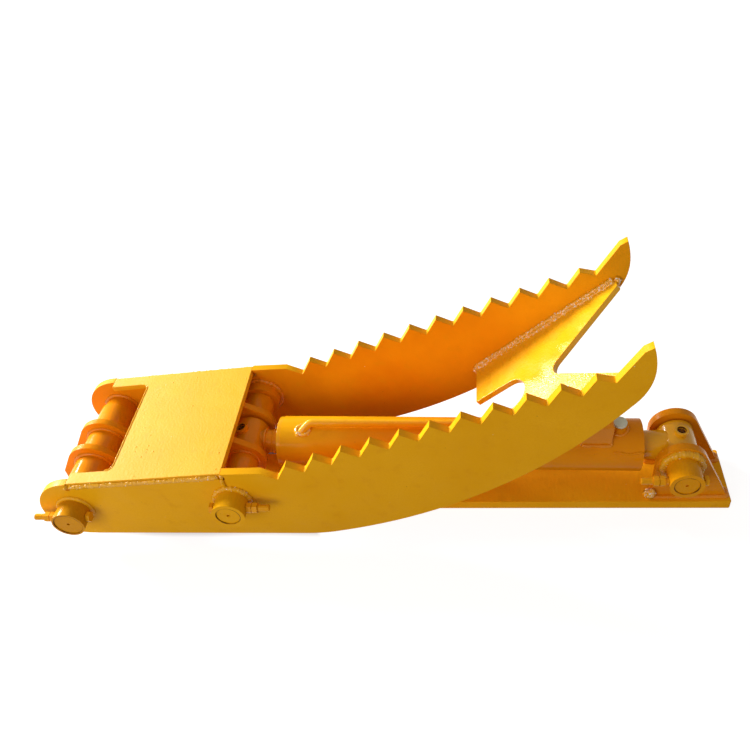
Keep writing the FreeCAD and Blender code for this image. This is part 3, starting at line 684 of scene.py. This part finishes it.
coverWay = Vector((math.cos(coverSlope), 0, math.sin(coverSlope)))
coverUp = Vector((-coverWay.z, 0, coverWay.x))
coverLow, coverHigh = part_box("cover_plate")
coverRun = coverHigh.x + coverUp.x * coverPlate["thickness"] - coverLow.x
coverTopStart = Vector((coverLow.x, 0, coverHigh.z - coverRun * coverWay.z / coverWay.x))


def onCover(x, depth, y):
    # A point at x, so far below the cover's top face
    along = (x - coverTopStart.x) / coverWay.x
    return atY(coverTopStart + coverWay * along - coverUp * depth, y)


drops = {
    "count": 20,
    "seed": 11,
    "size": (0.9 * mm, 2.0 * mm),
    "stretch": (1.0, 1.8),
    "turn": (0.0, 3.1),
    "flat": 0.50,
    "sunk": 0.1 * mm,
    "ends": (100.0 * mm, 8.0 * mm),     # kept clear at the notch and at the front
    "near": 0.55,          # share of them that lie by the near side, where the last pass was welded
    "nearSpan": (-142.0, -60.0),
    "farSpan": (-60.0, 142.0),
}


def makeCoverDrops():
    # Spatter and nibs that froze on the cover
    chance = random.Random(drops["seed"])
    work = bmesh.new()
    for number in range(drops["count"]):
        x = chance.uniform(coverLow.x + drops["ends"][0], coverHigh.x - drops["ends"][1])
        span = drops["nearSpan"] if chance.random() < drops["near"] else drops["farSpan"]
        place = Matrix.Translation(onCover(x, drops["sunk"], chance.uniform(*span) * mm))
        size = chance.uniform(*drops["size"])
        stretch = Matrix.Diagonal((size * chance.uniform(*drops["stretch"]), size, size * drops["flat"], 1.0))
        turn = Matrix.Rotation(-coverSlope, 4, "Y") @ Matrix.Rotation(chance.uniform(*drops["turn"]), 4, "Z")
        bmesh.ops.create_icosphere(work, subdivisions=2, radius=1.0, matrix=place @ turn @ stretch)
    pieceFrom(work, "weld_spatter_cover", paint["plate"], "thumb")


coverNotch = {
    "depth": 86.0 * mm,
    "half": 120.0 * mm,
    "corner": 14.0 * mm,
    "cornerSteps": 6,
    "sunk": 0.2 * mm,
    "edge": 1.5 * mm,      # the paint's fat edge
    "rough": 0.3,
    "seed": 7.0,
}


def makeNotchEdge():
    # The fat edge of paint along the notch's front side, which catches the light
    half, corner, steps = coverNotch["half"], coverNotch["corner"], coverNotch["cornerSteps"]
    front = coverLow.x + coverNotch["depth"] * coverWay.x
    arc = [(front - corner + corner * math.sin(a), half - corner + corner * math.cos(a))
           for a in (math.radians(90 / steps * i) for i in range(steps + 1))]
    points = [onCover(x, coverNotch["sunk"], -y) for x, y in arc]
    points += [onCover(x, coverNotch["sunk"], y) for x, y in arc[::-1]]
    weldBead("paint_edge_notch", points, lambda place: coverUp, coverNotch["edge"], "thumb", False, paint["tube"],
             coverNotch["seed"], coverNotch["rough"])


def makeCoverBeads():
    low, high = coverLow.x + coverPlate["endGap"], coverHigh.x - coverPlate["endGap"]
    depth = coverPlate["thickness"] - coverPlate["beadLift"]
    edgeRough, cornerRough, runRough = coverPlate["rough"]
    for side, word in bothSides:
        out = side * coverPlate["beadOut"]
        points = [onCover(x, depth, out) for x in (low, high)]
        lineBead("weld_cover_edge_" + word, points, (0, side, coverPlate["facing"]), coverPlate["beadSize"], "thumb",
                 paint["nickedWeld"], side, edgeRough)
        for x, way, end in ((coverLow.x, 1, "rear"), (coverHigh.x, -1, "front")):
            corner = [onCover(x + way * coverPlate["cornerStep"] * steps, under, out - side * inwards)
                      for steps, under, inwards in coverPlate["cornerPath"]]
            lineBead("weld_cover_corner_" + end + "_" + word, corner, (-way, side, coverPlate["cornerFacing"]),
                     coverPlate["cornerBead"], "thumb", paint["nickedWeld"], x, cornerRough)
        back, under = coverPlate["runTop"]
        top = onCover(coverHigh.x + back, under, side * (tineOuter + coverPlate["runOut"]))
        foot = atY(rodPin + Vector((coverPlate["runFoot"][0], 0, coverPlate["runFoot"][1])), top.y)
        lineBead("weld_relief_run_" + word, [foot, top], (0, side, 0), coverPlate["runBead"], "thumb",
                 paint["sunnyWeld"], 2.0 + side, runRough)


webPlate = {
    "angle": 39.2,
    "thickness": 12.0 * mm,
    "length": 330.0 * mm,
    # The three rows on top: in from the tine, up from the plate, size
    "topRows": ((0.0, 1.0 * mm, 7.0 * mm), (4.5 * mm, 0.4 * mm, 5.0 * mm), (0.5 * mm, 5.0 * mm, 4.6 * mm)),
    "topGap": 2.0 * mm,    # from the plate's ends
    "underGap": 3.0 * mm,
    "underDepth": 13.0 * mm,
    "underBead": 5.0 * mm,
    "sunk": 1.0 * mm,      # into the tine
    "wrapOut": 1.0 * mm,
    "wrapSpan": (2.5 * mm, -14.0 * mm),
    "wrapBead": 7.6 * mm,
    "rough": 0.5,
}


def makeWebBeads():
    angle = math.radians(webPlate["angle"])
    way = Vector((math.cos(angle), 0, math.sin(angle)))
    up = Vector((-way.z, 0, way.x))
    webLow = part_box("web_plate")[0]
    start = Vector((webLow.x, 0, webLow.z + webPlate["thickness"] * way.x))
    reach, out, topGap, underGap = (webPlate[key] for key in ("length", "wrapOut", "topGap", "underGap"))
    for side, word in bothSides:
        wall = start + Vector((0, side * (tineInner - webPlate["sunk"]), 0))
        inward = Vector((0, -side, 0))
        for row, (over, lift, size) in enumerate(webPlate["topRows"]):
            top = [wall + inward * over + way * s + up * lift for s in (topGap, reach - topGap)]
            lineBead("weld_web_top_%s_%d" % (word, row), top, up + inward, size, "thumb", paint["spatterWeld"],
                     side * (row + 1), webPlate["rough"])
        under = [wall + way * s - up * webPlate["underDepth"] for s in (underGap, reach - underGap)]
        lineBead("weld_web_under_" + word, under, inward - up, webPlate["underBead"], "thumb", seed=3.0 + side)
        for s, turn, end in ((-out, -1.0, "rear"), (reach + out, 1.0, "front")):
            wrap = [wall + way * s + up * lift for lift in webPlate["wrapSpan"]]
            lineBead("weld_web_" + end + "_" + word, wrap, way * turn + inward, webPlate["wrapBead"], "thumb",
                     paint["spatterWeld"], s, webPlate["rough"])


def footBead(name, low, high, up, size, body, way=Vector((1, 0, 0)), origin=Vector((0, 0, 0)), seed=0.0):
    # Round the foot of a plate: low and high are (along, across) from the origin.
    cut = size * 0.6
    flatCorners = []
    for x, y, dx, dy in ((low[0], low[1], 1, 1), (high[0], low[1], -1, 1),
                         (high[0], high[1], -1, -1), (low[0], high[1], 1, -1)):
        pair = [(x + dx * cut, y), (x, y + dy * cut)]
        flatCorners += pair if dx * dy < 0 else pair[::-1]
    points = [origin + way * x + Vector((0, y, 0)) for x, y in flatCorners]
    middle = origin + way * ((low[0] + high[0]) / 2) + Vector((0, (low[1] + high[1]) / 2, 0))
    half = ((high[0] - low[0]) / 2, (high[1] - low[1]) / 2)

    def outward(place):
        gap = place - middle
        along, across = gap.dot(way) / half[0], gap.y / half[1]
        lengthwise, sideways = way * math.copysign(1.0, along), Vector((0, math.copysign(1.0, across), 0))
        if abs(abs(along) - abs(across)) < 0.02:
            flatPart = lengthwise + sideways
        else:
            flatPart = lengthwise if abs(along) > abs(across) else sideways
        return (flatPart.normalized() + up).normalized()
    return weldBead(name, points, outward, size, body, True, None, seed)


feet = {
    "lift": 0.4 * mm,
    "pivotLug": {"size": 4.6 * mm, "out": 0.6 * mm},
    "cylinderLug": {"size": 5.6 * mm, "back": 0.4 * mm, "front": -1.0 * mm, "out": 0.8 * mm},
    "innerLug": {"size": 4.4 * mm, "start": 215.0 * mm, "length": 97.4 * mm, "out": 0.6 * mm},
    # The lump at the near cylinder lug's toe, from the corner of its foot
    "toePath": ((3.0, -3.0, 22.0), (-4.0, -3.0, 9.0), (-4.0, 8.0, 2.0), (-1.0, 17.0, 1.5)),
    "toeFacing": (-1, -0.6, 0.7),
    "toeSize": 9.0 * mm,
    "toeRough": 0.5,
}


def makeFootBeads():
    lift = Vector((0, 0, 1))
    ground = Vector((0, 0, plateTop + feet["lift"]))
    pivotLug, cylinderLug, innerLug = feet["pivotLug"], feet["cylinderLug"], feet["innerLug"]
    hung = onCover(innerLug["start"], coverPlate["thickness"] + feet["lift"], 0)
    for side, word in bothSides:
        low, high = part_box("pivot_lug_" + word)
        out = pivotLug["out"]
        footBead("weld_pivot_lug_" + word, (low.x - out, low.y - out), (high.x + out, high.y + out), lift,
                 pivotLug["size"], "base", origin=ground, seed=side)
        low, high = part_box("cylinder_lug_" + word)
        out = cylinderLug["out"]
        footBead("weld_cylinder_lug_" + word, (low.x + cylinderLug["back"], low.y - out),
                 (high.x + cylinderLug["front"], high.y + out), lift, cylinderLug["size"], "base", origin=ground,
                 seed=2 + side)
        low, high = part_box("inner_lug_" + word)
        out = innerLug["out"]
        footBead("weld_inner_lug_" + word, (0, low.y - out), (innerLug["length"], high.y + out), -coverUp,
                 innerLug["size"], "thumb", coverWay, hung, 4 + side)
    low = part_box("cylinder_lug_near")[0]
    facing = Vector(feet["toeFacing"]).normalized()
    run = [Vector((low.x, low.y, plateTop)) + Vector(step) * mm for step in feet["toePath"]]
    weldBead("weld_lug_toe_near", run, lambda place: facing, feet["toeSize"], "base", False, paint["spatterWeld"], 9.0,
             feet["toeRough"])


makeCoverDrops()
makeNotchEdge()
makeCoverBeads()
makeWebBeads()
makeFootBeads()
print("straight welds made")


# Welds on the cylinder
cylinder = {
    "radius": 51.0 * mm,
    "roll": 6.5,               # degrees from the top to the near side, for pipe, port and block
    "pipeFoot": 722.4 * mm,    # from the fixed pin, along the barrel
    "pipeFootAngle": 17.0,
    "pipeFootHalf": (12.4 * mm, 10.4 * mm),
    "pipeFootBead": 4.2 * mm,
    "portBoss": 117.0 * mm,
    "portHalf": (15.6 * mm, 15.6 * mm),
    "portBead": 3.4 * mm,
    "capFace": 72.0 * mm,
    "neck": (28.8 * mm, 4.4 * mm),    # radius and size of the bead
    "cap": (41.5 * mm, 2.6 * mm),
    "capGap": 0.6 * mm,
    "blockEnds": (133.0 * mm, 189.0 * mm),
    "blockHalf": 32.0 * mm,
    "blockGap": (0.4 * mm, 0.6 * mm),   # along and round the barrel
    "blockBead": (3.4 * mm, 3.6 * mm),  # ends, sides
    "blockFacing": 0.35,
    "eyeRadius": 35.0 * mm,
    "eyeGap": 1.0 * mm,
    "rodNeck": (23.6 * mm, 3.2 * mm),
    "lift": 0.3 * mm,
}
paintRun = {
    "span": (74, 132, 4),      # mm from the fixed pin: start, end and step
    "angle": 62.0,
    "sway": 1.5,
    "swayLength": 7.0,
    "sunk": 0.6 * mm,
    "size": 2.3 * mm,
    "seed": 6.0,
    "rough": 0.6,
}


def onBarrel(along, round_, lift=cylinder["lift"]):
    # A point on the barrel's skin, round_ being the distance round it from its top line
    angle = round_ / cylinder["radius"]
    skin = barrelUp * math.cos(angle) + Vector((0, math.sin(angle), 0))
    return basePin + barrelWay * along + skin * (cylinder["radius"] + lift)


def skinWay(place):
    gap = place - basePin
    return (gap - barrelWay * gap.dot(barrelWay)).normalized()


def roundTo(degrees):
    # The distance round the barrel from its top line to the near side
    return nearSide * math.radians(degrees) * cylinder["radius"]


def saddleBead(name, along, degrees, half, size, material=None):
    points = [onBarrel(along + half[0] * math.cos(a), roundTo(degrees) + half[1] * math.sin(a))
              for a in (math.tau * i / 48 for i in range(48))]
    middle = onBarrel(along, roundTo(degrees))

    def outward(place):
        return ((place - middle).normalized() + skinWay(place)).normalized()
    return weldBead(name, points, outward, size, "barrel", True, material, along * 10)


def makeBarrelBeads():
    saddleBead("weld_pipe_foot", cylinder["pipeFoot"], cylinder["pipeFootAngle"], cylinder["pipeFootHalf"],
               cylinder["pipeFootBead"], paint["spatterWeld"])
    saddleBead("weld_port_boss", cylinder["portBoss"], cylinder["roll"], cylinder["portHalf"], cylinder["portBead"])
    capFace = basePin + barrelWay * cylinder["capFace"]
    radius, size = cylinder["neck"]
    ringBead("weld_barrel_neck", capFace, radius, -barrelWay, "barrel", size)
    radius, size = cylinder["cap"]
    ringBead("weld_end_cap", capFace + barrelWay * cylinder["capGap"], radius, -barrelWay, "barrel", size, seed=3.0)


def makeBlockBeads():
    low, high = cylinder["blockEnds"]
    gap, roundGap = cylinder["blockGap"]
    endSize, sideSize = cylinder["blockBead"]
    roundHalf = math.asin(cylinder["blockHalf"] / cylinder["radius"]) * cylinder["radius"] + roundGap
    middle = roundTo(cylinder["roll"])
    for side, word in bothSides:
        points = [onBarrel(s, middle + side * roundHalf) for s in (low, high)]
        lineBead("weld_block_side_" + word, points, (0, side, cylinder["blockFacing"]), sideSize, "barrel", seed=side)
    for along, way, word in ((low - gap, -1.0, "rear"), (high + gap, 1.0, "front")):
        points = [onBarrel(along, middle + roundHalf * i / 8) for i in range(-8, 9)]
        weldBead("weld_block_" + word, points, lambda place, way=way: (barrelWay * way + skinWay(place)).normalized(),
                 endSize, "barrel", seed=along)


def makePaintRun():
    # A run of thick paint that set on the barrel's near side, beside the block
    points = []
    for along in range(*paintRun["span"]):
        angle = paintRun["angle"] + paintRun["sway"] * math.sin(along / paintRun["swayLength"])
        points.append(onBarrel(along * mm, roundTo(angle), -paintRun["sunk"]))
    weldBead("paint_run_barrel", points, skinWay, paintRun["size"], "barrel", False, paint["turned"],
             paintRun["seed"], paintRun["rough"])


def makeRodBead():
    reach = (rodPin - basePin).length - cylinder["eyeRadius"] - cylinder["eyeGap"]
    radius, size = cylinder["rodNeck"]
    ringBead("weld_rod_neck", basePin + barrelWay * reach, radius, -barrelWay, "rod", size, seed=5.0)


makeBarrelBeads()
makeBlockBeads()
makePaintRun()
makeRodBead()
print("cylinder welds made")


# Threads on the tails of the cross bolts
thread = {
    "pitch": 1.75 * mm,
    "core": 5.6 * mm,
    "root": 5.85 * mm,
    "crest": 6.35 * mm,
    "turns": 12,
    "tip": ((0.2 * mm, 4.816 * mm), (0.25 * mm, 4.95 * mm)),   # the chamfer: place along the bolt and radius
    "steps": 28,
    "mergeWithin": 0.001 * mm,
}


def makeThread(name, tip, way, body):
    # tip is the end of the bolt, and way points from it back to the nuts.
    work = bmesh.new()
    pitch = thread["pitch"]
    profile = list(thread["tip"])
    for turn in range(thread["turns"]):
        profile.append(((0.5 + turn) * pitch, thread["root"]))
        profile.append(((1.0 + turn) * pitch, thread["crest"]))
    profile.append(((0.5 + thread["turns"]) * pitch, thread["core"]))
    verts = [work.verts.new(Vector((x, radius, 0))) for x, radius in profile]
    edges = [work.edges.new(pair) for pair in zip(verts, verts[1:])]
    bmesh.ops.spin(work, geom=verts + edges, cent=(0, 0, 0), axis=(1, 0, 0), angle=math.tau, steps=thread["steps"],
                   use_merge=True)
    bmesh.ops.remove_doubles(work, verts=work.verts, dist=thread["mergeWithin"])
    rim = [edge for edge in work.edges if edge.is_boundary]
    bmesh.ops.bridge_loops(work, edges=rim)
    bmesh.ops.recalc_face_normals(work, faces=work.faces)
    if way < 0:
        bmesh.ops.rotate(work, verts=work.verts, cent=(0, 0, 0), matrix=Matrix.Rotation(math.pi, 3, "Z"))
    bmesh.ops.translate(work, verts=work.verts, vec=tip)
    return pieceFrom(work, name, paint["bolt"], body)


def makeThreads():
    for group, centre, body in (("pivot_pin", mainPivot, "thumb"), ("rod_pin", rodPin, "thumb"),
                                ("base_pin", basePin, "base")):
        low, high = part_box(group + "_bolts")
        tipX, way = (low.x, 1) if centre.x - low.x > high.x - centre.x else (high.x, -1)
        makeThread("thread_" + group, Vector((tipX, (low.y + high.y) / 2, centre.z)), way, body)


makeThreads()
print("threads made")


# Plain floor and soft studio light
studio = {
    "floorSize": 14.0,
    "floorMiddle": 0.6,
    "floorDrop": 0.5 * mm,
    "floorTone": 0.30,
    "floorGlow": 0.88,
    "underMiddle": (0.23, 0.0),     # painted shade: the floor's glow is left out under the thumb
    "underHalf": (0.21, 0.11),
    "underFade": 0.03,
    "floorBounce": 0.34,            # what the floor throws back on the object
    "skyTint": (1.0, 0.93, 0.86, 1.0),
    "skyStrength": 0.34,
}
# Each lamp's way, its distance and size, its power and its tint
lamps = {
    "sunLamp": ((0.84, -0.37, -0.33), 4.2, 1.3, 350.0, (1.0, 0.96, 0.88)),
    "fillLamp": ((0.50, 0.83, -0.30), 3.6, 2.6, 52.0, (1.0, 0.95, 0.90)),
    "rimLamp": ((0.66, -0.71, -0.24), 4.2, 0.40, 46.0, (1.0, 1.0, 1.0)),
}


def seenDirectly(tree):
    # One for rays from the camera, from gloss and through glass, and zero for the rest
    path = tree.nodes.new("ShaderNodeLightPath")
    total = path.outputs["Is Camera Ray"]
    for name in ("Is Glossy Ray", "Is Transmission Ray"):
        total = addMath(tree, "MAXIMUM", total, path.outputs[name])
    return total


def join(tree, kind, first, second, factor=None):
    # Adds or mixes two shaders
    node = tree.nodes.new(kind)
    sockets = list(node.inputs)
    if factor is not None:
        tree.links.new(factor, sockets.pop(0))
    for start, socket in zip((first, second), sockets):
        tree.links.new(start, socket)
    return node.outputs["Shader"]


def diffuse(tree, tone):
    node = tree.nodes.new("ShaderNodeBsdfDiffuse")
    node.inputs["Color"].default_value = (tone, tone, tone, 1.0)
    return node.outputs["BSDF"]


def makeFloorPaint():
    # Glows plainly for the camera, apart from a painted shade under the thumb, and bounces a set share of light
    material = bpy.data.materials.new("paleFloor")
    material.use_nodes = True
    tree = material.node_tree
    tree.nodes.clear()
    place = tree.nodes.new("ShaderNodeSeparateXYZ")
    tree.links.new(tree.nodes.new("ShaderNodeTexCoord").outputs["Object"], place.inputs[0])
    shares = []
    for axis, middle, half in zip("XY", studio["underMiddle"], studio["underHalf"]):
        off = addMath(tree, "ABSOLUTE", addMath(tree, "SUBTRACT", place.outputs[axis], middle))
        shares.append(addSpread(tree, off, half, half + studio["underFade"], 0.0, studio["floorGlow"]))
    glow = tree.nodes.new("ShaderNodeEmission")
    tree.links.new(addMath(tree, "MAXIMUM", *shares), glow.inputs["Strength"])
    seen = join(tree, "ShaderNodeAddShader", diffuse(tree, studio["floorTone"]), glow.outputs["Emission"])
    surface = join(tree, "ShaderNodeMixShader", diffuse(tree, studio["floorBounce"]), seen, seenDirectly(tree))
    tree.links.new(surface, tree.nodes.new("ShaderNodeOutputMaterial").inputs["Surface"])
    return material


def makeFloor():
    work = bmesh.new()
    bmesh.ops.create_grid(work, x_segments=1, y_segments=1, size=studio["floorSize"] / 2)
    middle = Vector((studio["floorMiddle"], 0, cadBox[0].z - studio["floorDrop"]))
    bmesh.ops.translate(work, verts=work.verts, vec=middle)
    mesh = bpy.data.meshes.new("floor")
    work.to_mesh(mesh)
    work.free()
    mesh.materials.append(makeFloorPaint())
    floor = bpy.data.objects.new("floor", mesh)
    bpy.context.scene.collection.objects.link(floor)


def makeSky():
    world = bpy.data.worlds.new("sky")
    world.use_nodes = True
    bpy.context.scene.world = world
    tree = world.node_tree
    tree.nodes.clear()
    fill = tree.nodes.new("ShaderNodeBackground")
    fill.inputs["Color"].default_value = studio["skyTint"]
    fill.inputs["Strength"].default_value = studio["skyStrength"]
    seen = tree.nodes.new("ShaderNodeBackground")
    surface = join(tree, "ShaderNodeMixShader", fill.outputs["Background"], seen.outputs["Background"],
                   seenDirectly(tree))
    tree.links.new(surface, tree.nodes.new("ShaderNodeOutputWorld").inputs["Surface"])


def makeLamps():
    centre = (cadBox[0] + cadBox[1]) / 2
    for name, (way, distance, size, power, tint) in lamps.items():
        data = bpy.data.lights.new(name, "AREA")
        data.shape = "DISK"
        data.size = size
        data.energy = power
        data.color = tint
        lamp = bpy.data.objects.new(name, data)
        bpy.context.scene.collection.objects.link(lamp)
        aim = Vector(way).normalized()
        turn = aim.to_track_quat("-Z", "Y").to_matrix().to_4x4()
        lamp.matrix_world = Matrix.Translation(centre - aim * distance) @ turn


makeFloor()
makeSky()
makeLamps()
bpy.context.scene.view_settings.view_transform = "Standard"
print("studio lit")
